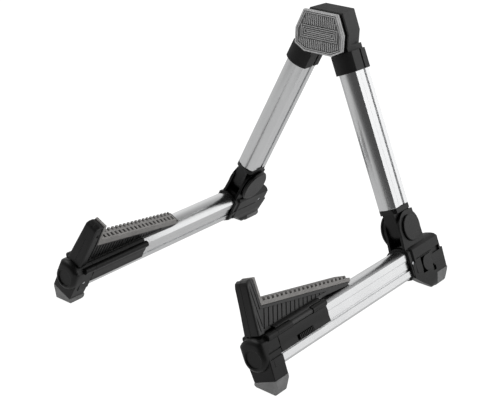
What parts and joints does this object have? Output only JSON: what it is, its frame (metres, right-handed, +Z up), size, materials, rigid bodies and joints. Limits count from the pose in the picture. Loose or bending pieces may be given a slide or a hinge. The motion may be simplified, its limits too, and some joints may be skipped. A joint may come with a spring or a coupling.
{
  "type": "folding instrument stand",
  "caption": "Folding A-frame guitar stand with hinged legs, folding rails on rubber feet, padded cradle arms and a padded head.",
  "frame": {"origin": "on the floor, at the middle of the stand's footprint, set up as in the picture", "axes": "+Z up; +Y from the cradle arms' posts at the front towards the knuckles and head at the rear; +X towards the stand's right leg as the player faces it from the front"},
  "size_m": [0.2582, 0.2891, 0.2564],
  "materials": {
    "aluminium": "satin anodised extrusion",
    "black_plastic": "fine-grained moulding",
    "grey_rubber": "matte",
    "arm_rubber": "matte",
    "steel": "plated"
  },
  "bodies": {
    "upper_left": {"upper_tube_left": "aluminium", "hinge_socket_left": "black_plastic", "collar_screw_left": "steel", "head_plate": "black_plastic", "head_pad": "grey_rubber", "head_pin": "steel"},
    "rail_left": {"lower_rail_left": "aluminium", "front_cap_left": "black_plastic", "front_foot_left": "grey_rubber", "front_screw_left": "steel", "rear_housing_left": "black_plastic", "rear_foot_left": "grey_rubber", "rear_screw_outer_left": "steel", "rear_screw_inner_left": "steel", "hinge_pin_left": "steel", "hinge_cap_outer_left": "black_plastic", "hinge_cap_inner_left": "black_plastic", "saddle_left": "black_plastic", "arm_pin_left": "steel"},
    "arm_left": {"arm_outer_shell_left": "black_plastic", "arm_inner_shell_left": "black_plastic", "arm_pad_left": "arm_rubber", "arm_screw_1_left": "steel", "arm_screw_2_left": "steel", "arm_screw_3_left": "steel", "arm_screw_4_left": "steel", "arm_screw_5_left": "steel", "arm_screw_6_left": "steel"},
    "latch_left": {"saddle_latch_left": "black_plastic"},
    "lock_left": {"lock_button_left": "black_plastic"},
    "upper_right": {"upper_tube_right": "aluminium", "hinge_socket_right": "black_plastic", "collar_screw_right": "steel", "head_block": "black_plastic"},
    "rail_right": {"lower_rail_right": "aluminium", "front_cap_right": "black_plastic", "front_foot_right": "grey_rubber", "front_screw_right": "steel", "rear_housing_right": "black_plastic", "rear_foot_right": "grey_rubber", "rear_screw_outer_right": "steel", "rear_screw_inner_right": "steel", "hinge_pin_right": "steel", "hinge_cap_outer_right": "black_plastic", "hinge_cap_inner_right": "black_plastic", "saddle_right": "black_plastic", "arm_pin_right": "steel"},
    "arm_right": {"arm_outer_shell_right": "black_plastic", "arm_inner_shell_right": "black_plastic", "arm_pad_right": "arm_rubber", "arm_screw_1_right": "steel", "arm_screw_2_right": "steel", "arm_screw_3_right": "steel", "arm_screw_4_right": "steel", "arm_screw_5_right": "steel", "arm_screw_6_right": "steel"},
    "latch_right": {"saddle_latch_right": "black_plastic"},
    "lock_right": {"lock_button_right": "black_plastic"}
  },
  "joints": [
    {"name": "head_spread", "type": "hinge", "parent": "upper_left", "child": "upper_right", "pos_m": [0, 0.10125, 0.2275], "axis": [0, 1, 0], "range_deg": [0, 48]},
    {"name": "knuckle_left", "type": "hinge", "parent": "upper_left", "child": "rail_left", "pos_m": [-0.09498, 0.10485, 0.0588], "axis": [-0.9092, 0, 0.4163], "range_deg": [0, 74]},
    {"name": "arm_swing_left", "type": "hinge", "parent": "rail_left", "child": "arm_left", "pos_m": [-0.11271, -0.08705, 0.04745], "axis": [0, -1, 0], "range_deg": [0, 160]},
    {"name": "latch_slide_left", "type": "slide", "parent": "rail_left", "child": "latch_left", "axis": [0, -1, 0], "range_m": [0, 0.0024], "stiffness_N_per_m": 300, "springref_m": -0.001},
    {"name": "lock_press_left", "type": "slide", "parent": "rail_left", "child": "lock_left", "axis": [0.9092, 0, -0.4163], "range_m": [0, 0.002], "stiffness_N_per_m": 500, "springref_m": -0.001},
    {"name": "knuckle_right", "type": "hinge", "parent": "upper_right", "child": "rail_right", "pos_m": [0.09498, 0.10485, 0.0588], "axis": [-0.9092, 0, -0.4163], "range_deg": [0, 74]},
    {"name": "arm_swing_right", "type": "hinge", "parent": "rail_right", "child": "arm_right", "pos_m": [0.11271, -0.08705, 0.04745], "axis": [0, 1, 0], "range_deg": [0, 160]},
    {"name": "latch_slide_right", "type": "slide", "parent": "rail_right", "child": "latch_right", "axis": [0, -1, 0], "range_m": [0, 0.0024], "stiffness_N_per_m": 300, "springref_m": -0.001},
    {"name": "lock_press_right", "type": "slide", "parent": "rail_right", "child": "lock_right", "axis": [-0.9092, 0, -0.4163], "range_m": [0, 0.002], "stiffness_N_per_m": 500, "springref_m": -0.001}
  ]
}
